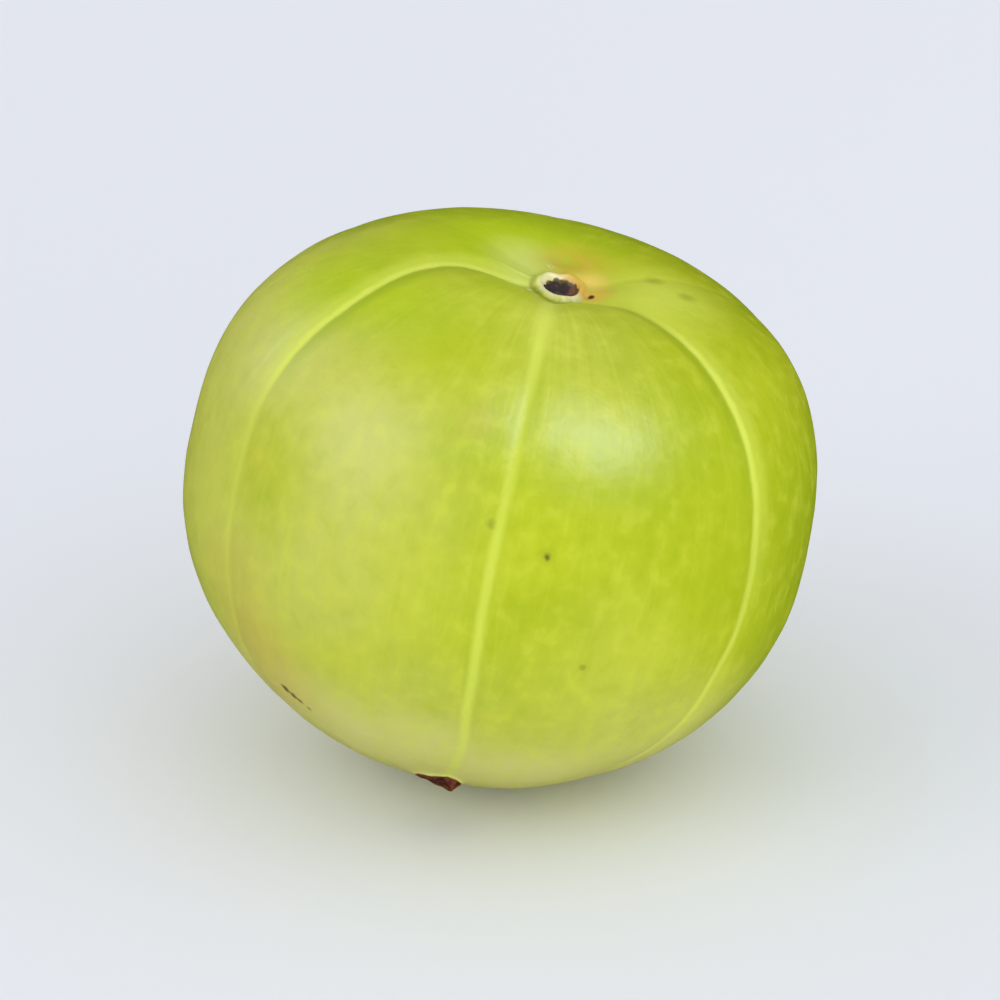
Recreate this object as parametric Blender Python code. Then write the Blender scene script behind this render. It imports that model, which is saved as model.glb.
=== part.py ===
"""Indian gooseberry (amla): one whole fresh fruit, a little wider than it is tall.

The fruit is one solid: a squarish crown with a shallow basin round the stem scar, a rounder
underside, six furrows that run from pole to pole, and a small flat spot that it rests on.
It is shaped upright about its own axis, then leaned over and trimmed level by the rest plane.

Units are metres and +Z is up. The origin is on the rest plane, under the middle of the fruit.
"""

import math

import bmesh
import bpy
import numpy as np
from mathutils import Matrix, Vector

# Outline: |r / radius|^p + |z / height|^p = 1, with a height and a power p for each half
EQUATOR_RADIUS = 0.0170
CROWN_HEIGHT = 0.0145
CROWN_POWER = 2.75
BASE_HEIGHT = 0.0149
BASE_POWER = 2.0

# Basin round the stem scar, and the slight hollow round the blossom end below
BASIN_DEPTH = 0.00155
BASIN_RADIUS = 0.0042
BLOSSOM_DEPTH = 0.00025
BLOSSOM_RADIUS = 0.0006

# Stem scar: a small pit with a rim that stands a little proud, on a seat that tips to the front.
# Its middle lies slightly to the right of the axis, and the skin round it is drawn over with it
SCAR_DEPTH = 0.0005
SCAR_RADIUS = 0.00082
RIM_HEIGHT = 0.00026
RIM_RADIUS = 0.00114
RIM_WIDTH = 0.00025
SCAR_OFFSET = 0.0007
SCAR_LONGITUDE = math.radians(97.0)
SCAR_DRAW_RADIUS = 0.0030
SEAT_SLOPE = 0.22
SEAT_RADIUS = 0.0022

# Six furrows. Longitudes are counted in degrees, to the right, from the side that faces front
FURROW_LONGITUDES = (-56.0, 1.5, 59.0, 120.0, 181.0, 241.0)
FURROW_DEPTH = 0.00022
FURROW_LEAST_DEPTH = 0.00008
FURROW_FADE_RADIUS = 0.0100
LOBE_DEPTH = 0.00014
CROWN_CLEAR_RADIUS = 0.0022
UNDERSIDE_CLEAR_RADIUS = 0.0085

# Uneven growth: the shoulder of the crown is fuller on one side and falls short on the other
SWELL_HEIGHT = 0.0004
SWELL_LONGITUDE = math.radians(120.0)
SHOULDER_ANGLE = math.radians(42.0)
SHOULDER_SPREAD = math.radians(20.0)

# Resting attitude: the axis leans to the right and slightly back, and the underside is trimmed
LEAN = math.radians(13.1)
LEAN_HEADING = math.radians(10.4)
FRONT_HEADING = math.radians(-95.6)
REST_TRIM = 0.00034

# Mesh: columns between two furrows, rings from pole to pole, and how far the rings crowd the poles
COLUMNS_PER_LOBE = 12
RINGS = 54
POLE_CROWDING = 0.85

# Skin finish
SKIN_COLOUR = (0.485, 0.584, 0.030, 1.0)
SKIN_ROUGHNESS = 0.36


def clear_scene():
    """Removes every object that the scene starts with."""
    for item in list(bpy.data.objects):
        bpy.data.objects.remove(item, do_unlink=True)


def outline(theta):
    """Radius and height of the plain outline at a polar angle theta, 0 at the stem end.

    With s = sin(theta) and k = cos(theta), q = (|s|^p + |k|^p)^(-1/p) puts (s q, k q) on the
    unit curve |x|^p + |y|^p = 1, which the two half axes then stretch.
    """
    crown = theta < math.pi / 2
    power = np.where(crown, CROWN_POWER, BASE_POWER)
    height = np.where(crown, CROWN_HEIGHT, BASE_HEIGHT)
    s = np.sin(theta)
    k = np.cos(theta)
    q = (np.abs(s) ** power + np.abs(k) ** power) ** (-1.0 / power)
    return EQUATOR_RADIUS * s * q, height * k * q


def scar_relief(r, longitude):
    """Height of the stem scar: a seat that falls to the front, a flat-floored pit and a bell-shaped rim."""
    seat = -SEAT_SLOPE * r * np.cos(longitude) * np.exp(-((r / SEAT_RADIUS) ** 4))
    pit = -SCAR_DEPTH * np.exp(-((r / SCAR_RADIUS) ** 6))
    rim = RIM_HEIGHT * np.exp(-(((r - RIM_RADIUS) / RIM_WIDTH) ** 2))
    return seat + pit + rim


def end_relief(r, longitude, crown):
    """Height added near the ends: basin and stem scar above, blossom hollow below."""
    basin = -BASIN_DEPTH * np.exp(-((r / BASIN_RADIUS) ** 2))
    hollow = BLOSSOM_DEPTH * np.exp(-((r / BLOSSOM_RADIUS) ** 2))
    return np.where(crown, basin + scar_relief(r, longitude), hollow)


def furrow_depth(r, across, crown):
    """Inward depth of the furrows; across runs from 0 on one furrow to 1 on the next.

    A broad lobe term, LOBE_DEPTH (1 - sin(pi across)), carries a narrow groove that is deepest
    by the stem basin. Both fade out by the scar rim, and over the underside that can touch down.
    """
    lobe = LOBE_DEPTH * (1.0 - np.sin(math.pi * across))
    fade = np.exp(-((r / FURROW_FADE_RADIUS) ** 2))
    groove = FURROW_LEAST_DEPTH + (FURROW_DEPTH - FURROW_LEAST_DEPTH) * fade
    on_furrow = np.exp(-((np.minimum(across, 1.0 - across) * COLUMNS_PER_LOBE) ** 2))
    clear_radius = np.where(crown, CROWN_CLEAR_RADIUS, UNDERSIDE_CLEAR_RADIUS)
    return (lobe + groove * on_furrow) * (1.0 - np.exp(-((r / clear_radius) ** 4)))


def shoulder_swell(theta, longitude):
    """Outward swell of the shoulder: height cos(longitude - middle) exp(-((theta - shoulder) / spread)^2)."""
    band = np.exp(-(((theta - SHOULDER_ANGLE) / SHOULDER_SPREAD) ** 2))
    return SWELL_HEIGHT * np.cos(longitude - SWELL_LONGITUDE) * band


def scar_draw(r, crown):
    """How far the rings are drawn over beside the axis, so that those near the stem end centre on the scar."""
    draw = np.where(crown, SCAR_OFFSET * np.exp(-((r / SCAR_DRAW_RADIUS) ** 2)), 0.0)
    heading = SCAR_LONGITUDE + FRONT_HEADING
    return draw * math.cos(heading), draw * math.sin(heading)


def fruit_grid():
    """Points of the upright fruit as an array of rings by columns, poles left out."""
    step = np.arange(1, RINGS) / RINGS
    theta = math.pi * (step - POLE_CROWDING * np.sin(2 * math.pi * step) / (2 * math.pi))
    lobes = len(FURROW_LONGITUDES)
    column = np.arange(lobes * COLUMNS_PER_LOBE) / COLUMNS_PER_LOBE
    across = np.mod(column, 1.0)
    longitudes = FURROW_LONGITUDES + (FURROW_LONGITUDES[0] + 360.0,)
    longitude = np.radians(np.interp(column, np.arange(lobes + 1), longitudes))
    phi = longitude + FRONT_HEADING
    theta = theta[:, None]
    crown = theta < math.pi / 2
    r, z = outline(theta)
    z = z + end_relief(r, longitude, crown)
    relief = shoulder_swell(theta, longitude) - furrow_depth(r, across, crown)
    # The relief stands along the outward direction (sin(theta), cos(theta))
    out = r + relief * np.sin(theta)
    up = z + relief * np.cos(theta)
    draw_x, draw_y = scar_draw(r, crown)
    return np.stack([out * np.cos(phi) + draw_x, out * np.sin(phi) + draw_y, up], axis=-1)


def pole_point(crown):
    """The last point inside the rings, at the stem end or at the blossom end."""
    theta = 0.0 if crown else math.pi
    height = outline(theta)[1] + end_relief(0.0, 0.0, crown)
    draw_x, draw_y = scar_draw(0.0, crown)
    return float(draw_x), float(draw_y), float(height)


def fruit_bmesh():
    """The upright fruit as a closed bmesh: quads between rings, a fan of triangles at each pole."""
    bm = bmesh.new()
    rings = [[bm.verts.new(point) for point in ring] for ring in fruit_grid()]
    columns = len(rings[0])
    stem_end = bm.verts.new(pole_point(True))
    blossom_end = bm.verts.new(pole_point(False))
    for j in range(columns):
        k = (j + 1) % columns
        bm.faces.new((stem_end, rings[0][j], rings[0][k]))
        bm.faces.new((blossom_end, rings[-1][k], rings[-1][j]))
        for upper, lower in zip(rings, rings[1:]):
            bm.faces.new((upper[j], lower[j], lower[k], upper[k]))
    for face in bm.faces:
        face.smooth = True
    return bm


def lean_and_trim(bm):
    """Leans the fruit over, trims it by the rest plane and centres it above the origin."""
    hinge = Vector((-math.sin(LEAN_HEADING), math.cos(LEAN_HEADING), 0.0))
    bm.transform(Matrix.Rotation(LEAN, 4, hinge))
    lowest = min(v.co.z for v in bm.verts)
    bm.transform(Matrix.Translation((0.0, 0.0, -lowest - REST_TRIM)))
    cut = bmesh.ops.bisect_plane(
        bm,
        geom=bm.verts[:] + bm.edges[:] + bm.faces[:],
        plane_co=(0.0, 0.0, 0.0),
        plane_no=(0.0, 0.0, 1.0),
        clear_inner=True,
    )
    rim = [item for item in cut["geom_cut"] if isinstance(item, bmesh.types.BMEdge)]
    bmesh.ops.contextual_create(bm, geom=rim)
    for edge in rim:
        edge.smooth = False
    bmesh.ops.recalc_face_normals(bm, faces=bm.faces[:])
    points = np.array([v.co for v in bm.verts])
    middle = (points.min(axis=0) + points.max(axis=0)) / 2
    bm.transform(Matrix.Translation((-middle[0], -middle[1], 0.0)))


def skin_material():
    """Smooth, faintly waxy yellow-green skin."""
    material = bpy.data.materials.new("fruit_skin")
    material.use_nodes = True
    shader = material.node_tree.nodes["Principled BSDF"]
    shader.inputs["Base Color"].default_value = SKIN_COLOUR
    shader.inputs["Roughness"].default_value = SKIN_ROUGHNESS
    shader.inputs["Metallic"].default_value = 0.0
    return material


def make_fruit():
    """Builds the fruit object with its mesh and skin."""
    bm = fruit_bmesh()
    lean_and_trim(bm)
    mesh = bpy.data.meshes.new("fruit")
    bm.to_mesh(mesh)
    bm.free()
    mesh.materials.append(skin_material())
    fruit = bpy.data.objects.new("fruit", mesh)
    bpy.context.scene.collection.objects.link(fruit)
    return fruit


clear_scene()
make_fruit()
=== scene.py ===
"""Indian gooseberry (amla): one whole fresh fruit that rests on a pale table.

The fruit's parts are shaped upright, about the fruit's own axis, in millimetres: x points to the side
that faces front, y to the right and z to the stem end. Each is then leaned over, set down on the
table and turned into metres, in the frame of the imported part.
"""

import math

import bpy
import numpy as np
from mathutils import Matrix, Vector


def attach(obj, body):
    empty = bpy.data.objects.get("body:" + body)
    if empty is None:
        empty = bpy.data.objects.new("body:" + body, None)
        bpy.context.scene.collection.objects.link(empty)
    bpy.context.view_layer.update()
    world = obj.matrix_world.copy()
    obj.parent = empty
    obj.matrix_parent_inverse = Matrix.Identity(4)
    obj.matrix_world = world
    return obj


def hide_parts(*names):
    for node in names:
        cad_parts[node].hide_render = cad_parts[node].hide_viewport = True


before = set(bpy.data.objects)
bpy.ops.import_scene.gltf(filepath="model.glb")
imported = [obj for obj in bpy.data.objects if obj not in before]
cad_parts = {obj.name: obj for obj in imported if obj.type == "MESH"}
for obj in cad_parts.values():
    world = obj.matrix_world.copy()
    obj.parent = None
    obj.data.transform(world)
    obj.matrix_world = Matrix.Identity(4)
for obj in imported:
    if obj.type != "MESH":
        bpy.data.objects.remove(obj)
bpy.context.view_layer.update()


# The fruit: a round, slightly flattened berry of crisp, half-clear flesh under a thin waxy skin.
# It grows in six lobes, and between each two a pale furrow runs from the stem end to the blossom end.
MM = 0.001

# The outline of the upper and the lower half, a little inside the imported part's, and the flat rest spot
SKIN_INSET = 0.05
EQUATOR_RADIUS = 17.0 - SKIN_INSET
CROWN_HEIGHT = 14.5 - SKIN_INSET
CROWN_POWER = 2.75
BASE_HEIGHT = 14.9 - SKIN_INSET
BASE_POWER = 2.0
REST_TRIM = 0.34
REST_SOFTNESS = 0.02

# The basin at the stem end, and the uneven swell of the shoulder round it
BASIN_DEPTH = 1.55
BASIN_RADIUS = 4.2
SWELL_HEIGHT = 0.4
SWELL_LONGITUDE = math.radians(120.0)
SHOULDER_ANGLE = math.radians(42.0)
SHOULDER_SPREAD = math.radians(20.0)

# The stem scar, a little beside the axis: its tipped seat, its pit and its raised rim. Then the
# small dent at the blossom end
SCAR_OFFSET = 0.7
SCAR_LONGITUDE = math.radians(97.0)
SCAR_DRAW_RADIUS = 3.0
SEAT_SLOPE = 0.22
SEAT_RADIUS = 2.2
SCAR_DEPTH = 0.5
SCAR_RADIUS = 0.82
RIM_HEIGHT = 0.26
RIM_RADIUS = 1.14
RIM_WIDTH = 0.25
BLOSSOM_DEPTH = 0.25
BLOSSOM_RADIUS = 0.6

# Each furrow's longitude in degrees, how strongly it is marked on the crown and below it, the radius
# where it begins to change from one to the other, which way its higher side lies (1 to the right, -1 to
# the left, 0 where both are level), and its strays in degrees at STRAY_ANGLES
FURROWS = np.array([
    (-56.0, 1.0, 0.5, 14.4, -1.0, -26.0, -8.0, -2.2, 0.0, 2.0, 4.0, 4.0, 1.0),
    (1.5, 0.7, 1.0, 14.4, 0.0, 0.0, 0.0, 0.0, 0.2, 0.7, 2.4, 4.5, 2.0),
    (59.0, 1.0, 0.9, 14.4, 1.0, 8.0, 2.0, -1.3, -1.8, -1.2, -4.5, -7.0, -2.0),
    (120.0, 0.35, 0.9, 12.0, 0.0, -4.0, -5.0, -2.0, 0.0, 2.0, 3.0, 1.0, 0.0),
    (181.0, 0.15, 0.9, 8.0, 0.0, 2.0, 3.0, 1.0, -1.0, -3.0, -2.0, 1.0, 1.0),
    (241.0, 0.15, 0.8, 9.0, 0.0, -1.0, -3.0, -1.0, 1.0, 3.0, 2.0, 0.0, -1.0),
])
STRAY_ANGLES = np.radians((10.0, 25.0, 45.0, 65.0, 85.0, 105.0, 130.0, 165.0))
STRAY_REACH = math.radians(13.0)
CROWN_EDGE = 16.9

# How the lobes round off into the furrows, and each furrow's wide valley, narrow crease and ledge
LOBE_DEPTH = 0.14
LOBE_ROUNDING = 0.2
VALLEY_DEPTH = 0.19
VALLEY_DEPTH_BELOW = 0.035
VALLEY_WIDTH = 0.9
VALLEY_FADE = 8.5
CREASE_DEPTH = 0.05
CREASE_WIDTH = 0.32
LEDGE_HEIGHT = 0.035
LEDGE_WIDTH = 1.1
FURROW_START = 1.9
UNDERSIDE_CLEAR = 8.5

# Petal scars: tiny corky dots round the stem scar, as (degrees round it, distance, radius)
PETAL_SCARS = ((82.0, 1.66, 0.17), (-62.0, 1.9, 0.1), (-40.0, 2.1, 0.08), (205.0, 2.0, 0.08))
PETAL_SCAR_DEPTH = 0.08

# Waves that make the scar's edge ragged and its rim uneven: height, count round the scar and phase
EDGE_WAVES = ((0.05, 3, 0.6), (0.03, 7, 0.0))
RIM_WAVES = ((0.2, 1, math.pi / 2), (0.15, 3, 1.0), (0.1, 7, 0.0))

# A dried corky crust on the lower limb, thin at its left end and thick at its right: the polar angle and
# longitude of its middle in degrees, its half-length, half-width and height, and the share of that
# height at stations from its left end, -1, to its right end, 1
SCAB_PLACE = (148.0, 2.5)
SCAB_HALF_LENGTH = 1.6
SCAB_HALF_WIDTH = 1.1
SCAB_HEIGHT = 0.5
SCAB_STATIONS = (-1.0, 0.4, 0.65, 1.0)
SCAB_SHARES = (0.0, 0.95, 1.0, 0.0)

# Ripples of the skin and of the crust: wavelength, height, number of waves and seed
SKIN_RIPPLES = ((7.0, 0.030, 24, 3), (2.6, 0.008, 40, 5))
SCAB_RIPPLE = (0.9, 0.06, 16, 7)

# The mesh: its rings crowd towards the poles, and its columns towards the furrows
RINGS = 296
COLUMNS_PER_LOBE = 53
POLE_CROWDING = 0.72
FURROW_CROWDING = 0.7

# How far the fruit's axis leans, towards which heading, and the heading that its front is turned to
LEAN = math.radians(13.1)
LEAN_HEADING = math.radians(10.4)
FRONT_HEADING = math.radians(-95.6)


def outline(polar):
    """Radius and height of the plain outline at a polar angle, 0 at the stem end.

    With s and k the sine and cosine of the angle, q = (|s|^p + |k|^p)^(-1/p) puts (s q, k q) on the
    unit curve |x|^p + |y|^p = 1. The equator radius and the height of either half then stretch it.
    """
    crown = polar < np.pi / 2
    power = np.where(crown, CROWN_POWER, BASE_POWER)
    height = np.where(crown, CROWN_HEIGHT, BASE_HEIGHT)
    s, k = np.sin(polar), np.cos(polar)
    q = (np.abs(s) ** power + np.abs(k) ** power) ** (-1.0 / power)
    return EQUATOR_RADIUS * s * q, height * k * q


def bell(x, width):
    """exp(-(x / width)^2)."""
    return np.exp(-((x / width) ** 2))


def furrow_longitude(which, polar):
    """Longitude of a furrow in degrees: its own, plus a mean of its strays weighted by nearness.

    The weight of each stray is a bell of the distance in polar angle to the place that it is given for.
    """
    turns, which = np.divmod(which, len(FURROWS))
    nearness = bell(polar[..., None] - STRAY_ANGLES, STRAY_REACH)
    stray = (nearness * FURROWS[which, 5:]).sum(axis=-1) / nearness.sum(axis=-1)
    return FURROWS[which, 0] + 360.0 * turns + stray


def furrow_mark(which, r, polar):
    """How strongly a furrow is marked: its crown value on the crown, its other value beyond the edge.

    Between its start and the edge, the value changes by the smooth step s^2 (3 - 2 s).
    """
    on_crown, below, start = FURROWS[which % len(FURROWS), 1:4].T
    share = np.clip((r - start) / (CROWN_EDGE - start), 0.0, 1.0)
    share = np.where(polar < np.pi / 2, share * share * (3.0 - 2.0 * share), 1.0)
    return on_crown + (below - on_crown) * share


def upright(r, z, polar, longitude, relief):
    """Points from the outline's radius and height, pushed out by relief along (sin polar, cos polar).

    Near the stem end the rings are drawn over to centre on the scar, by offset exp(-(r / draw)^2).
    """
    out = r + relief * np.sin(polar)
    up = z + relief * np.cos(polar)
    draw = np.where(polar < np.pi / 2, SCAR_OFFSET * bell(r, SCAR_DRAW_RADIUS), 0.0)
    x = out * np.cos(longitude) + draw * math.cos(SCAR_LONGITUDE)
    y = out * np.sin(longitude) + draw * math.sin(SCAR_LONGITUDE)
    return np.stack(np.broadcast_arrays(x, y, up), axis=-1)


def on_skin(polar_degrees, longitude_degrees):
    """The upright point of the outline with its swell, at a polar angle and a longitude in degrees."""
    polar = math.radians(polar_degrees)
    longitude = math.radians(longitude_degrees)
    r, z = outline(polar)
    return upright(r, z, polar, longitude, swell(polar, longitude)).tolist()


def wavy(angle, waves):
    """A factor that varies round a circle: 1 plus the sum of height sin(count angle + phase)."""
    return 1.0 + sum(height * np.sin(count * angle + phase) for height, count, phase in waves)


def stem_end(r, longitude):
    """Height added at the stem end: the basin, and in it the scar's tipped seat, pit and rim.

    The basin, the rim and the petal scars are bells. The seat is a slope that fades by
    exp(-(r / radius)^4), and the pit is flat, with a steep wall: exp(-(r / radius)^8).
    """
    basin = -BASIN_DEPTH * bell(r, BASIN_RADIUS)
    seat = -SEAT_SLOPE * r * np.cos(longitude) * np.exp(-((r / SEAT_RADIUS) ** 4))
    edge = wavy(longitude, EDGE_WAVES)
    pit = -SCAR_DEPTH * np.exp(-((r / (SCAR_RADIUS * edge)) ** 8))
    rim = RIM_HEIGHT * wavy(longitude, RIM_WAVES) * bell(r - RIM_RADIUS * edge, RIM_WIDTH)
    petals = 0.0
    for degrees, distance, radius in PETAL_SCARS:
        angle = math.radians(degrees)
        dx = r * np.cos(longitude) - distance * math.cos(angle)
        dy = r * np.sin(longitude) - distance * math.sin(angle)
        petals = petals - PETAL_SCAR_DEPTH * bell(np.hypot(dx, dy), radius)
    return basin + seat + pit + rim + petals


def swell(polar, longitude):
    """Uneven growth: height cos(longitude - middle) exp(-((polar - shoulder) / spread)^2)."""
    around = np.cos(longitude - SWELL_LONGITUDE)
    return SWELL_HEIGHT * around * bell(polar - SHOULDER_ANGLE, SHOULDER_SPREAD)


def crust(points):
    """Thickness share of the scab: a wedge that rises from its left end and drops at its right end.

    With u the distance to the right of its middle and v the distance across, in half-lengths and
    half-widths, it is w(u) exp(-(v / (0.5 + w(u) / 2))^4), where w goes from 0 to 1 and back to 0.
    """
    angle = math.radians(SCAB_PLACE[1])
    rightward = np.array([-math.sin(angle), math.cos(angle), 0.0])
    offset = points - on_skin(*SCAB_PLACE)
    right = offset @ rightward
    across = np.linalg.norm(offset - right[..., None] * rightward, axis=-1) / SCAB_HALF_WIDTH
    wedge = np.interp(right / SCAB_HALF_LENGTH, SCAB_STATIONS, SCAB_SHARES)
    return wedge * np.exp(-((across / (0.5 + wedge / 2)) ** 4))


def ripple(points, wavelength, height, waves, seed):
    """Soft unevenness: height times the sum of sine waves, over the square root of their number.

    The waves cross the points in random directions, and each has its own length and phase.
    """
    random = np.random.default_rng(seed)
    directions = random.normal(size=(waves, 3))
    directions /= np.linalg.norm(directions, axis=1, keepdims=True)
    lengths = wavelength * random.uniform(0.7, 1.4, waves)
    phases = random.uniform(0.0, 2 * np.pi, waves)
    angles = points @ (directions.T * (2 * np.pi / lengths)) + phases
    return height * np.sin(angles).sum(axis=-1) / math.sqrt(waves)


def lean_over(points):
    """Upright points turned to face front and leaned over, by two rotations, still in millimetres."""
    hinge = Vector((-math.sin(LEAN_HEADING), math.cos(LEAN_HEADING), 0.0))
    turn = Matrix.Rotation(LEAN, 3, hinge) @ Matrix.Rotation(FRONT_HEADING, 3, "Z")
    return points @ np.array(turn).T


def closed_mesh(name, grid, first_pole, last_pole):
    """A closed surface from rings of points, each ring running the same way round, and two poles.

    The rings are joined by quads and each pole by a fan of triangles. The first pole is the upper
    one, and the rings run anticlockwise seen from above, so that the faces point outwards.
    """
    rings, columns = grid.shape[:2]
    points = np.concatenate([grid.reshape(-1, 3), [first_pole], [last_pole]])
    index = np.arange(rings * columns).reshape(rings, columns)
    after = np.roll(index, -1, axis=1)
    quads = np.stack([index[:-1], index[1:], after[1:], after[:-1]], axis=-1).reshape(-1, 4)
    top = np.stack([np.full(columns, len(points) - 2), index[0], after[0]], axis=-1)
    bottom = np.stack([np.full(columns, len(points) - 1), after[-1], index[-1]], axis=-1)
    mesh = bpy.data.meshes.new(name)
    mesh.from_pydata(points.tolist(), [], quads.tolist() + top.tolist() + bottom.tolist())
    mesh.polygons.foreach_set("use_smooth", np.ones(len(mesh.polygons), bool))
    mesh.update()
    return mesh


def keep_on_points(mesh, name, kind, field, values):
    """Stores values on the mesh's points, for its material to read."""
    attribute = mesh.attributes.new(name, kind, "POINT")
    attribute.data.foreach_set(field, np.ascontiguousarray(values, np.float32).ravel())


step = np.arange(1, RINGS) / RINGS
polar = np.pi * (step - POLE_CROWDING * np.sin(2 * np.pi * step) / (2 * np.pi))[:, None]
column = np.arange(len(FURROWS) * COLUMNS_PER_LOBE)
lobe = column // COLUMNS_PER_LOBE
across = (column % COLUMNS_PER_LOBE) / COLUMNS_PER_LOBE
across = across - FURROW_CROWDING * np.sin(2 * np.pi * across) / (2 * np.pi)
lobe_start = furrow_longitude(lobe, polar)
lobe_end = furrow_longitude(lobe + 1, polar)
longitude = np.radians(lobe_start + (lobe_end - lobe_start) * across)
r, z = outline(polar)
gap = r * np.radians(lobe_end - lobe_start) * np.minimum(across, 1.0 - across)
mark = furrow_mark(np.where(across < 0.5, lobe, lobe + 1), r, polar)

# The ledge beside a furrow, as a share from -1 on its lower side to 1 on its higher side
sides = FURROWS[:, 4]
side = np.where(across < 0.5, sides[lobe], -sides[(lobe + 1) % len(FURROWS)])
ledge = side * np.tanh(gap / CREASE_WIDTH) * bell(gap, LEDGE_WIDTH) * mark

crown = polar < np.pi / 2
furrow_fade = 1.0 - np.exp(-((r / np.where(crown, FURROW_START, UNDERSIDE_CLEAR)) ** 4))
on_crown = np.where(crown, bell(r, VALLEY_FADE), 0.0)
lobed = 1.0 - np.hypot(np.sin(np.pi * across), LOBE_ROUNDING) / math.hypot(1.0, LOBE_ROUNDING)
relief = -LOBE_DEPTH * lobed * furrow_fade * (mark + (1.0 - mark) * (1.0 - on_crown))
valley_depth = VALLEY_DEPTH * on_crown + VALLEY_DEPTH_BELOW
relief = relief - valley_depth * mark * bell(gap, VALLEY_WIDTH) * furrow_fade
relief = relief - CREASE_DEPTH * mark * bell(gap, CREASE_WIDTH) * furrow_fade
relief = relief + LEDGE_HEIGHT * ledge * on_crown * furrow_fade
relief = relief + swell(polar, longitude)
smooth = upright(r, z, polar, longitude, 0.0 * longitude)
for waves in SKIN_RIPPLES:
    relief = relief + ripple(smooth, *waves)
scab_share = crust(smooth)
relief = relief + (SCAB_HEIGHT + ripple(smooth, *SCAB_RIPPLE)) * scab_share

end_height = np.where(
    crown,
    stem_end(r, longitude),
    BLOSSOM_DEPTH * bell(r, BLOSSOM_RADIUS),
)
fruit_grid = upright(r, z + end_height, polar, longitude, relief)
stem_pole = fruit_grid[0].mean(axis=0)
blossom_pole = fruit_grid[-1].mean(axis=0)
upright_points = np.concatenate([fruit_grid.reshape(-1, 3), [stem_pole], [blossom_pole]])

# The fruit is lowered until its base is REST_TRIM below the table, and then what is below is softly
# flattened onto it, as z -> (z + sqrt(z^2 + softness^2)) / 2
leaned = lean_over(upright_points)
drop = np.array([0.0, 0.0, leaned[:, 2].min() + REST_TRIM])
leaned = leaned - drop
leaned[:, 2] = (leaned[:, 2] + np.sqrt(leaned[:, 2] ** 2 + REST_SOFTNESS**2)) / 2
centring = np.append((leaned.min(axis=0) + leaned.max(axis=0))[:2] / 2, 0.0)
placed = (leaned - centring) * MM

fruit_mesh = closed_mesh("fruit_skin", placed[:-2].reshape(*fruit_grid.shape), placed[-2], placed[-1])
keep_on_points(fruit_mesh, "upright", "FLOAT_VECTOR", "vector", upright_points)
for name, values in (
    ("furrow_gap", gap),
    ("furrow_mark", mark),
    ("furrow_ledge", ledge),
    ("scab_share", scab_share),
):
    keep_on_points(fruit_mesh, name, "FLOAT", "value", np.append(values, [0.0, 0.0]))


class Wire:
    """The output of a shader node. Sums, differences and products of wires and numbers add Math nodes."""

    def __init__(self, socket):
        self.socket = socket

    @classmethod
    def node(cls, tree, kind, settings, inputs, output=0):
        """Adds a node to a tree: its settings are set first, then its inputs, to values or wires."""
        made = tree.nodes.new(kind)
        for name, value in settings.items():
            setattr(made, name, value)
        for name, value in inputs.items():
            if isinstance(value, Wire):
                tree.links.new(value.socket, made.inputs[name])
            else:
                made.inputs[name].default_value = value
        return cls(made.outputs[output])

    def more(self, kind, settings, inputs, output=0):
        """Adds a node to this wire's own tree."""
        return Wire.node(self.socket.id_data, kind, settings, inputs, output)

    def math(self, operation, *numbers):
        """A Math node of this wire and more numbers or wires, in that order."""
        inputs = dict(enumerate((self, *numbers)))
        return self.more("ShaderNodeMath", {"operation": operation}, inputs)

    def __add__(self, other):
        return self.math("ADD", other)

    __radd__ = __add__

    def __mul__(self, other):
        return self.math("MULTIPLY", other)

    __rmul__ = __mul__

    def __sub__(self, other):
        return self.math("SUBTRACT", other)

    def __rsub__(self, other):
        return (self * -1.0) + other

    def vector(self, operation, *others, output=0):
        """A Vector Math node of this wire and more vectors or wires."""
        inputs = dict(enumerate((self, *others)))
        return self.more("ShaderNodeVectorMath", {"operation": operation}, inputs, output)

    def part(self, axis):
        """One number of a vector: 0, 1 or 2."""
        return self.more("ShaderNodeSeparateXYZ", {}, {0: self}, axis)

    def rise(self, start, end, top=1.0):
        """A smooth step: 0 up to start, and top from end on, which may lie below start."""
        settings = {"interpolation_type": "SMOOTHSTEP"}
        inputs = {"Value": self, "From Min": start, "From Max": end, "To Max": top}
        return self.more("ShaderNodeMapRange", settings, inputs)

    def tint(self, below, above):
        """A colour between two, which may be wires: below at 0, above at 1."""
        return self.more("ShaderNodeMix", {"data_type": "RGBA"}, {0: self, 6: below, 7: above}, 2)

    def noise(self, scale, detail):
        """Cloudy noise from 0 to 1 at this vector."""
        return self.more("ShaderNodeTexNoise", {}, {"Vector": self, "Scale": scale, "Detail": detail})


def kept_on_points(material, name, output="Fac"):
    """Values that the mesh keeps on its points, as a number, or with the output Vector as a vector."""
    return Wire.node(material.node_tree, "ShaderNodeAttribute", {"attribute_name": name}, {}, output)


def surface_of(material, **inputs):
    """Sets or links the sockets of a material's Principled BSDF by name, with _ for each space."""
    shader = material.node_tree.nodes["Principled BSDF"]
    for name, value in inputs.items():
        socket = shader.inputs[name.replace("_", " ")]
        if isinstance(value, Wire):
            material.node_tree.links.new(value.socket, socket)
        else:
            socket.default_value = value


def rgb(red, green, blue):
    """A colour given as a screen shows it, from 0 to 255, as linear light with alpha 1."""
    share = np.array([red, green, blue]) / 255.0
    linear = np.where(share <= 0.04045, share / 12.92, ((share + 0.055) / 1.055) ** 2.4)
    return (*linear.tolist(), 1.0)


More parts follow.
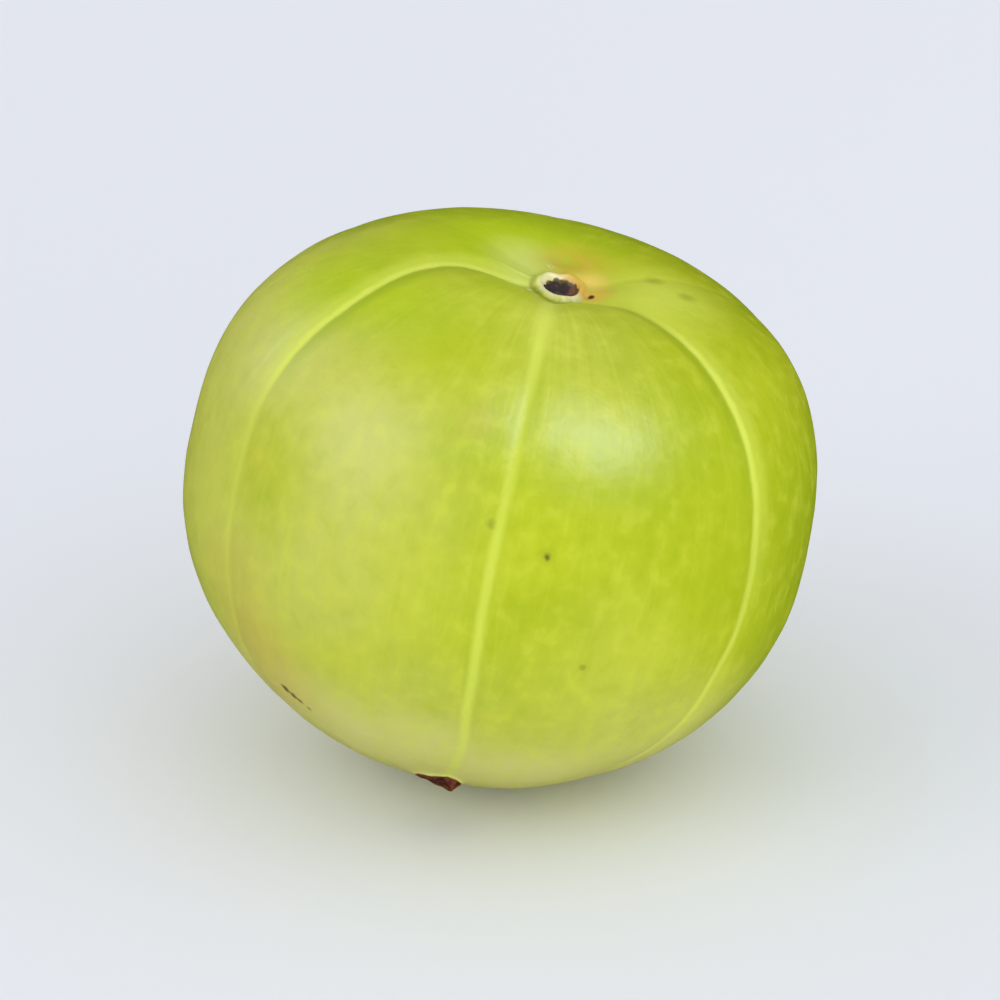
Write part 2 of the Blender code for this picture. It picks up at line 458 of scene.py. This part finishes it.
# The greens of the skin, the pale yellows of its lines and halos, and the browns of its marks
SKIN_DEEP = rgb(174, 190, 4)
SKIN_PALE = rgb(188, 199, 22)
# SKIN_DARK is a dark green of the mottle, and also paints shade
SKIN_DARK = rgb(150, 173, 2)
SKIN_FLECK = rgb(206, 215, 58)
SKIN_BLOOM_AND_SHEEN = rgb(206, 205, 116)
# SKIN_BASE is the underside's pale yellow, and also paints light from the table
SKIN_BASE = rgb(228, 222, 142)
SKIN_SATURATED = rgb(184, 212, 8)
LINE_PALE = rgb(221, 233, 92)
# HALO_PALE is a pale halo colour, and also paints reflections
HALO_PALE = rgb(220, 228, 140)
CREAM = rgb(242, 234, 172)
ORANGE = rgb(228, 174, 76)
YELLOW = rgb(246, 214, 104)
TAN = rgb(208, 172, 56)
FOOT_SHADE = rgb(104, 108, 18)
DOT_BROWN = rgb(70, 46, 10)
PIT_BROWN = rgb(84, 52, 20)
SCAB_DARK = rgb(64, 22, 20)
SCAB_BROWN = rgb(118, 58, 34)

# How fine the noise of the fibres and the veins is round the fruit and along it, and how wide a vein is
# in its noise. Then the scales of the other patterns, the skin's roughness and the depth of its grain
FIBRES_ROUND = 24.0
FIBRES_ALONG = 0.22
VEINS_ROUND = 10.0
VEINS_ALONG = 0.08
VEIN_WIDTH = 0.022
CLOUD_SCALE = 0.16
MOTTLE_SCALE = 0.95
SPECKLE_SCALE = 3.2
PORE_SCALE = 0.6
SKIN_ROUGHNESS = 0.38
SKIN_GRAIN = 0.05 * MM

skin = bpy.data.materials.new("waxy_green_skin")
skin.use_nodes = True

# The upright place in millimetres, and what the mesh keeps about the furrows and the crust
place = kept_on_points(skin, "upright", "Vector")
from_furrow = kept_on_points(skin, "furrow_gap")
marked = kept_on_points(skin, "furrow_mark")
higher_side = kept_on_points(skin, "furrow_ledge")
crusted = kept_on_points(skin, "scab_share")
rightward = place.part(1)
height = place.part(2)


def close_to(point, radius, top=1.0):
    """A soft round mask: top at a point, falling smoothly to half of it a little inside the radius."""
    return place.vector("DISTANCE", point, output="Value").rise(radius * 1.7, 0.0, top)


def patches(operation, *rows):
    """Soft round masks joined by a Math operation, each given as its point, radius and top."""
    joined = close_to(*rows[0])
    for row in rows[1:]:
        joined = joined.math(operation, close_to(*row))
    return joined


# The skin's pattern: wide soft clouds, a finer mottle, tiny speckles and round pale pores. The wobble, in
# millimetres, makes the edges of marks ragged
clouds = place.noise(CLOUD_SCALE, 2.0)
mottle = place.noise(MOTTLE_SCALE, 2.0)
speckle = place.noise(SPECKLE_SCALE, 1.0)
pores = place.more("ShaderNodeTexVoronoi", {"feature": "F1"}, {"Vector": place, "Scale": PORE_SCALE})
pores = pores.rise(0.2, 0.02) * clouds.rise(0.42, 0.62)
uneven_clouds = clouds - 0.5
uneven_mottle = mottle - 0.5
wobble = (speckle - 0.5) * 0.24

# Fibres show through the skin as soft pale streaks that run from pole to pole, with finer veins
level = place.vector("MULTIPLY", (1.0, 1.0, 0.0))
ring = level.vector("NORMALIZE")
along = place.vector("MULTIPLY", (0.0, 0.0, FIBRES_ALONG))
fibres = ring.vector("MULTIPLY_ADD", (FIBRES_ROUND,) * 3, along).noise(1.0, 2.0).rise(0.42, 0.8)
along = place.vector("MULTIPLY", (0.0, 0.0, VEINS_ALONG))
veins = ring.vector("MULTIPLY_ADD", (VEINS_ROUND,) * 3, along).noise(1.0, 1.0)
veins = (veins - 0.5).math("ABSOLUTE").rise(VEIN_WIDTH, 0.0)
veins = veins * level.vector("LENGTH", output="Value").rise(2.0, 9.0)

# The crown's top and left are painted a brighter, saturated green. Painted shade makes the back of the
# crown and the right side deeper green, and a patch low on the front is deeper green too
saturated_crown = patches(
    "ADD",
    ((3.5, -10.5, 12.0), 4.2, 0.8),
    ((-2.0, -5.0, 13.9), 4.2, 0.9),
    ((-5.0, -1.0, 13.4), 3.6, 0.7),
    ((7.6, -6.2, 12.7), 3.4, 0.6),
    ((4.4, -2.2, 13.9), 1.9, 0.6),
).math("MINIMUM", 1.0)
# Painted shade: the back of the crown and the right side are darker green
back_crown = (place.part(0) + uneven_clouds * 4.0).rise(-1.0, -7.0) * height.rise(2.0, 11.0)
deep_and_shade = (rightward + uneven_clouds * 4.0).rise(12.0, 17.0, 0.6) * height.rise(-12.0, 0.0)
deep_and_shade = deep_and_shade.math("MAXIMUM", back_crown * 0.4) + close_to(on_skin(103.0, 12.0), 4.6, 0.22)

# A whitish bloom makes the skin paler and yellower on the left, low down and in a few patches. Part of
# it is the skin's real bloom and part is painted light: light from the table low down, and painted
# reflections on the left. It is taken away in other patches, with the painted shade at the back of the
# crown, and where the crown is painted saturated green
bloom_and_sheen = (rightward + uneven_clouds * 9.0).rise(1.0, -10.0, 0.5)
# Painted light from the table makes the lower half paler
bloom_and_sheen = bloom_and_sheen.math("MAXIMUM", (height + uneven_clouds * 5.0).rise(1.0, -13.0, 0.9))
# Patches of bloom, partly painted reflections on the left and the front
bloom_and_sheen = bloom_and_sheen + patches(
    "ADD",
    (on_skin(60.0, -28.0), 5.4, 0.14),
    (on_skin(54.0, -72.0), 5.0, 0.35),
    (on_skin(27.0, 8.0), 4.6, 0.25),
    (on_skin(95.0, 33.0), 5.0, 0.22),
    (on_skin(85.0, -16.0), 5.5, 0.16),
)
bloom_gaps = patches(
    "MAXIMUM",
    (on_skin(72.0, 44.0), 4.8, 0.9),
    (on_skin(34.0, -18.0), 3.8, 0.9),
    (on_skin(76.0, -46.0), 3.2, 0.7),
    (on_skin(54.0, -6.0), 2.6, 0.6),
)
bloom_gaps = bloom_gaps.math("MAXIMUM", back_crown * 0.8).math("MAXIMUM", saturated_crown)
bloom_and_sheen = bloom_and_sheen * (1.0 - bloom_gaps)

# The green of the skin, layer on layer: clouds, mottle, bloom with painted light, the pale yellow
# underside and the deeper zones with painted shade
colour = clouds.rise(0.32, 0.68).tint(SKIN_DEEP, SKIN_PALE)
colour = mottle.rise(0.47, 0.3, 0.2).tint(colour, SKIN_DARK)
colour = (bloom_and_sheen * mottle.rise(-0.6, 0.75)).tint(colour, SKIN_BLOOM_AND_SHEEN)
# The underside is paler yellow, partly its own colour and partly painted light from the table
colour = (height + uneven_clouds * 4.0).rise(-5.5, -11.5, 0.6).tint(colour, SKIN_BASE)
# Painted shade: deeper green at the back of the crown and on the right
colour = deep_and_shade.tint(colour, SKIN_DARK)

# Painted light makes a pale zone right of the scar, and painted light from the table another low on the
# right. Then flecks, fibres, veins and pores, and the painted saturated green on the crown
# Painted light: a pale zone right of the scar
colour = close_to((0.2, 5.6, 14.0), 3.4, 0.75).tint(colour, LINE_PALE)
# Painted light from the table, low on the right
colour = close_to((8.2, 13.4, -6.6), 3.4, 0.3).tint(colour, SKIN_BASE)
colour = mottle.rise(0.48, 0.74, 0.36).tint(colour, SKIN_FLECK)
colour = (fibres * 0.2 + veins * 0.12 + pores * 0.2).tint(colour, SKIN_FLECK)
colour = (saturated_crown * 0.6).tint(colour, SKIN_SATURATED)

# Deeper green zones between the furrows, painted shade where the right highlight falls, and pale streaks
# of painted reflection on the left furrow's shoulder
for point, radius, strength, zone_colour in (
    (on_skin(61.0, 51.0), 3.2, 0.5, SKIN_DEEP),
    (on_skin(78.0, 48.0), 3.0, 0.5, SKIN_DEEP),
    ((10.2, -5.0, 12.2), 2.4, 0.45, SKIN_DEEP),
    # Painted shade where the right highlight falls
    (on_skin(55.0, 27.0), 3.6, 0.2, SKIN_DARK),
):
    colour = close_to(point, radius, strength).tint(colour, zone_colour)
# Painted reflection: pale streaks on the left furrow's shoulder
streaks = close_to((7.4, -13.0, 8.6), 2.6, 0.5) * (fibres * 0.5 + 0.6)
colour = streaks.tint(colour, HALO_PALE)

# Each furrow is a pale line, with a wide faint band. On the crown its higher side is painted pale with
# light, and its lower side dark with painted shade. In front of the scar the line is wider, in a fan of
# pale streaks. It is fainter on the upper half of the front furrow, and missing where the right furrow
# leaves the scar
LINE_HALF_WIDTH = 0.46
BAND_HALF_WIDTH = 1.6
fan = close_to(on_skin(22.0, 4.0), 4.2, 0.5)
colour = (fan * (fibres * 0.35 + mottle * 0.8)).tint(colour, LINE_PALE)
ragged_gap = (from_furrow + uneven_mottle * 0.3 + wobble * 0.3) * (1.0 - fan)
beyond_start = 1.0 - close_to(on_skin(15.0, 66.0), 3.4)
line = ragged_gap.rise(LINE_HALF_WIDTH, 0.03) * marked.rise(0.2, 0.85) * beyond_start
line = line * (1.0 - close_to(on_skin(50.0, 2.0), 5.8, 0.62))
line = line * (height.rise(2.0, 12.0, 0.45) + clouds * 0.4 + 0.35)
# The wide faint band, and painted light on each furrow's higher side on the crown
band = higher_side.rise(0.05, 0.7) + ragged_gap.rise(BAND_HALF_WIDTH, 0.0, 0.2) * marked
band = band * height.rise(-4.0, 9.0, 0.27) * beyond_start
# Painted shade on each furrow's lower side on the crown
shade = (higher_side * -1.0).rise(0.05, 0.8) * height.rise(2.0, 12.0, 0.5)
colour = shade.tint(colour, SKIN_DARK)
colour = band.tint(colour, LINE_PALE)
colour = line.tint(colour, LINE_PALE)

# Small marks on the skin: polar angle and longitude in degrees, radius, strength and colour
MARKS = (
    (68.5, 0.2, 0.3, 0.5, rgb(132, 136, 44)),
    (72.6, 11.5, 0.5, 0.3, rgb(150, 164, 20)),
    (72.6, 11.5, 0.19, 0.85, rgb(92, 92, 20)),
    (96.0, 23.0, 0.2, 0.45, rgb(120, 128, 24)),
    (50.0, -8.0, 1.0, 0.2, rgb(204, 178, 92)),
    (76.0, -50.0, 1.2, 0.1, rgb(204, 170, 74)),
    (106.0, -50.0, 3.4, 0.26, rgb(206, 180, 88)),
    (122.0, -42.0, 3.4, 0.34, rgb(208, 176, 88)),
    (127.2, -39.0, 0.3, 0.85, rgb(92, 62, 24)),
    (128.2, -37.0, 0.26, 0.85, rgb(92, 62, 24)),
    (129.0, -35.2, 0.2, 0.8, rgb(108, 74, 28)),
    (130.4, -33.0, 0.16, 0.7, rgb(116, 84, 34)),
    (19.0, 112.0, 0.6, 0.5, rgb(132, 150, 16)),
    (24.0, 96.0, 0.5, 0.45, rgb(136, 154, 18)),
    (112.0, 150.0, 0.3, 0.7, rgb(110, 96, 30)),
    (64.0, -154.0, 0.22, 0.7, rgb(104, 108, 24)),
)
for polar_degrees, longitude_degrees, radius, strength, mark_colour in MARKS:
    from_mark = place.vector("DISTANCE", on_skin(polar_degrees, longitude_degrees), output="Value")
    colour = (from_mark + wobble).rise(radius * 1.5, radius * 0.3, strength).tint(colour, mark_colour)

# The corky scab, and the remains of the flower's style at the blossom end
scab = crusted * 2.2 + close_to((0.0, 0.0, -BASE_HEIGHT), 0.9)
scab = (scab + wobble + uneven_mottle * 0.5).rise(0.4, 0.6)
colour = scab.tint(colour, speckle.rise(0.35, 0.65).tint(SCAB_DARK, SCAB_BROWN))

# A pale patch and tan, orange and yellow stains lie round the stem scar. Cork stains its rim and the
# petal scars cream to orange, and its pit brown. Painted shade darkens the rim's foot in front
RIM_STAIN_RADIUS = 1.08
FOOT_RADIUS = 1.62
PIT_RADIUS = 0.9
scar_middle = (
    SCAR_OFFSET * math.cos(SCAR_LONGITUDE),
    SCAR_OFFSET * math.sin(SCAR_LONGITUDE),
    CROWN_HEIGHT - BASIN_DEPTH,
)


def by_scar(degrees, distance):
    """The upright point at an angle and a distance from the scar's middle, on the basin's seat."""
    angle = math.radians(degrees)
    x = scar_middle[0] + distance * math.cos(angle)
    y = scar_middle[1] + distance * math.sin(angle)
    return x, y, float(CROWN_HEIGHT + stem_end(distance, angle))


from_scar = place.vector("SUBTRACT", scar_middle)
scar_reach = from_scar.vector("LENGTH", output="Value") + wobble
frontward = from_scar.part(0)
sideward = from_scar.part(1)
colour = close_to(by_scar(-125.0, 2.6), 2.0, 0.5).tint(colour, HALO_PALE)
colour = (close_to(by_scar(172.0, 2.6), 1.9, 0.75) * mottle.rise(0.1, 0.6)).tint(colour, TAN)
colour = close_to(by_scar(88.0, 2.0), 0.8, 0.6).tint(colour, ORANGE)
colour = close_to(by_scar(132.0, 1.9), 0.9, 0.85).tint(colour, YELLOW)
# Painted shade in the crease round the rim's foot, on its front
foot_shade = (scar_reach - FOOT_RADIUS).math("ABSOLUTE").rise(0.26, 0.02)
foot_shade = foot_shade * (frontward * 0.9 - sideward * 0.6).rise(0.0, 1.4, 0.5)
colour = foot_shade.tint(colour, FOOT_SHADE)
stain = (sideward - frontward * 0.7 + uneven_mottle * 0.9).rise(0.1, 1.1).tint(CREAM, ORANGE)
rim_stain = (scar_reach - RIM_STAIN_RADIUS).math("ABSOLUTE").rise(0.46, 0.08, 0.95)
colour = rim_stain.tint(colour, stain)
colour = scar_reach.rise(PIT_RADIUS + 0.1, PIT_RADIUS, 0.9).tint(colour, PIT_BROWN)
for degrees, distance, radius in PETAL_SCARS:
    from_dot = place.vector("DISTANCE", by_scar(degrees, distance), output="Value")
    colour = from_dot.rise(radius * 3.2, radius, 0.6).tint(colour, stain)
    colour = from_dot.rise(radius * 1.4, radius * 0.7, 0.95).tint(colour, DOT_BROWN)

roughness = SKIN_ROUGHNESS + uneven_mottle * 0.12 + scab * 0.3
grain = mottle * 0.7 + fibres * 0.12 + speckle * 0.1
bump = grain.more("ShaderNodeBump", {}, {"Strength": 1.0, "Distance": SKIN_GRAIN, "Height": grain})
surface_of(
    skin,
    Base_Color=colour,
    Roughness=roughness,
    Normal=bump,
    Subsurface_Weight=0.45,
    Subsurface_Radius=(1.0, 1.0, 0.25),
    Subsurface_Scale=0.0025,
    Specular_IOR_Level=0.4,
)
fruit_mesh.materials.append(skin)
fruit_skin = bpy.data.objects.new("fruit_skin", fruit_mesh)
bpy.context.scene.collection.objects.link(fruit_skin)
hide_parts("fruit")
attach(fruit_skin, "root")


# The stem scar: a plug of brown cork that fills the pit where the stalk broke away.
# It grew there as the fruit ripened. It is rough, and sunk a little below its rim.
CORK_RADIUS = 0.97
CORK_EDGE = 0.1
CORK_BOWL = 0.26
CORK_THICKNESS = 0.2
CORK_WAVES = ((0.04, 3, 0.6), (0.04, 8, 2.0))
CORK_RIPPLES = ((0.62, 0.05, 14, 11), (0.22, 0.018, 20, 12))
CORK_GRAIN = 0.08 * MM
CORK_RINGS = 60
CORK_COLUMNS = 144

turn = np.linspace(0.0, 2 * np.pi, CORK_COLUMNS, endpoint=False)
sweep = (np.pi * np.arange(1, CORK_RINGS) / CORK_RINGS)[:, None]


def cork_points(sweep, turn):
    """A plug on the seat's slope, from its upper middle, sweep 0, round its edge to its lower middle, pi.

    Its radius is share = sin(sweep) of the plug's. It is a lumpy bowl of height
    edge - bowl (1 - share^3), and its back is rounded, deeper by thickness (1 - cos(sweep)).
    """
    share = np.sin(sweep)
    out = CORK_RADIUS * share * wavy(turn, CORK_WAVES)
    flat = np.stack(np.broadcast_arrays(out * np.cos(turn), out * np.sin(turn), 0.0 * out), axis=-1)
    lumps = sum(ripple(flat, *waves) for waves in CORK_RIPPLES)
    bowl = CORK_EDGE - CORK_BOWL * (1.0 - share**3) + lumps
    back = -CORK_THICKNESS * (1.0 - np.cos(sweep))
    crown_top = CROWN_HEIGHT - BASIN_DEPTH * bell(out, BASIN_RADIUS)
    up = crown_top - SEAT_SLOPE * out * np.cos(turn) + bowl + back
    x = flat[..., 0] + scar_middle[0]
    y = flat[..., 1] + scar_middle[1]
    return np.stack([x, y, up], axis=-1)


cork_grid = cork_points(sweep, turn)
cork_poles = [cork_grid[0].mean(axis=0), cork_grid[-1].mean(axis=0)]
cork_upright = np.concatenate([cork_grid.reshape(-1, 3), cork_poles])
cork_placed = (lean_over(cork_upright) - drop - centring) * MM
cork_rings = cork_placed[:-2].reshape(*cork_grid.shape)
cork_mesh = closed_mesh("stem_scar", cork_rings, cork_placed[-2], cork_placed[-1])
keep_on_points(cork_mesh, "upright", "FLOAT_VECTOR", "vector", cork_upright)

CORK_DARK = rgb(44, 24, 6)
CORK_WORN = rgb(122, 70, 36)
CORK_CRUMB = rgb(84, 46, 16)
cork = bpy.data.materials.new("brown_cork")
cork.use_nodes = True
spot = kept_on_points(cork, "upright", "Vector")
crumbs = spot.noise(5.0, 4.0)
worn = (spot.noise(1.5, 2.0) + spot.part(1) * 0.14 - spot.part(0) * 0.08).rise(0.5, 0.78)
cork_colour = worn.tint(CORK_DARK, CORK_WORN)
cork_colour = (crumbs.rise(0.5, 0.75) * 0.45).tint(cork_colour, CORK_CRUMB)
cork_bump = crumbs.more(
    "ShaderNodeBump",
    {},
    {"Strength": 1.0, "Distance": CORK_GRAIN, "Height": crumbs},
)
surface_of(cork, Base_Color=cork_colour, Roughness=0.7 + crumbs * 0.2, Normal=cork_bump)
cork_mesh.materials.append(cork)
stem_scar = bpy.data.objects.new("stem_scar", cork_mesh)
bpy.context.scene.collection.objects.link(stem_scar)
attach(stem_scar, "root")


# The table: a plain pale surface, wide enough to fill every view. It isn't mirrored in the skin.
# The light is a plain soft studio's: a pale room, with soft boxes at the right, left, back, front and top.
FLOOR_HALF = 4.0
floor_mesh = bpy.data.meshes.new("table")
corners = [(-FLOOR_HALF, -FLOOR_HALF, 0.0), (FLOOR_HALF, -FLOOR_HALF, 0.0)]
corners += [(FLOOR_HALF, FLOOR_HALF, 0.0), (-FLOOR_HALF, FLOOR_HALF, 0.0)]
floor_mesh.from_pydata(corners, [], [(0, 1, 2, 3)])
table = bpy.data.materials.new("pale_table")
table.use_nodes = True
surface_of(table, Base_Color=rgb(240, 242, 249), Roughness=0.8, Specular_IOR_Level=0.2)
floor_mesh.materials.append(table)
floor = bpy.data.objects.new("table", floor_mesh)
bpy.context.scene.collection.objects.link(floor)
floor.visible_glossy = False

FRUIT_MIDDLE = Vector((0.0, 0.0, 0.0149))
LIGHT_DISTANCE = 0.9
MIRRORED_BLUE = (0.86, 0.91, 1.0)
ROOM_STRENGTH = 0.765


def soft_box(name, azimuth, elevation, width, height, power, only=None):
    """A rectangular area light that faces the fruit, in degrees to the right of the front and above it.

    It stands at (cos(elevation) sin(azimuth), -cos(elevation) cos(azimuth), sin(elevation)) times the
    light's distance. A box may be only mirrored in the skin, and is then slightly blue, or only light it.
    """
    light = bpy.data.lights.new(name, "AREA")
    light.shape = "RECTANGLE"
    light.size = width
    light.size_y = height
    light.energy = power
    lamp = bpy.data.objects.new(name, light)
    azimuth, elevation = math.radians(azimuth), math.radians(elevation)
    level = math.cos(elevation)
    away = Vector((level * math.sin(azimuth), -level * math.cos(azimuth), math.sin(elevation)))
    lamp.location = FRUIT_MIDDLE + away * LIGHT_DISTANCE
    lamp.rotation_mode = "QUATERNION"
    lamp.rotation_quaternion = away.to_track_quat("Z", "Y")
    lamp.visible_camera = False
    lamp.visible_diffuse = only != "mirrored"
    lamp.visible_glossy = only != "lighting"
    if only == "mirrored":
        light.color = MIRRORED_BLUE
    bpy.context.scene.collection.objects.link(lamp)


# The boxes' azimuth and elevation in degrees, width and height in metres, and power in watts
soft_box("soft_box_right", 55.0, 52.0, 0.44, 0.58, 9.6, "mirrored")
soft_box("soft_box_sheen", -62.0, 35.0, 0.7, 0.76, 3.0, "mirrored")
soft_box("soft_box_left", -62.0, 35.0, 0.7, 0.76, 2.7)
soft_box("soft_box_behind", -135.0, 22.0, 0.6, 0.3, 0.2)
soft_box("soft_box_front", 32.0, 8.0, 1.6, 0.18, 4.0, "lighting")
soft_box("soft_box_above", 60.0, 66.0, 1.2, 1.2, 1.3, "lighting")

room = bpy.data.worlds.new("pale_room")
room.use_nodes = True
background = room.node_tree.nodes["Background"]
background.inputs["Color"].default_value = rgb(244, 246, 250)
background.inputs["Strength"].default_value = ROOM_STRENGTH
bpy.context.scene.world = room
room.cycles_visibility.glossy = False
bpy.context.scene.view_settings.view_transform = "Standard"


# The camera: it looks down on the fruit from the front, at the photograph's angle, through a long lens
# that takes in little more than the fruit.
CAMERA_ELEVATION = math.radians(25.0)
CAMERA_DISTANCE = 0.6
camera_data = bpy.data.cameras.new("camera")
camera_data.lens = 400.0
camera_data.sensor_width = 36.0
camera_data.clip_start = 0.05
camera_data.clip_end = 20.0
camera = bpy.data.objects.new("camera", camera_data)
back = Vector((0.0, -math.cos(CAMERA_ELEVATION), math.sin(CAMERA_ELEVATION)))
camera.location = FRUIT_MIDDLE + back * CAMERA_DISTANCE
camera.rotation_mode = "QUATERNION"
camera.rotation_quaternion = back.to_track_quat("Z", "Y")
bpy.context.scene.collection.objects.link(camera)
bpy.context.scene.camera = camera
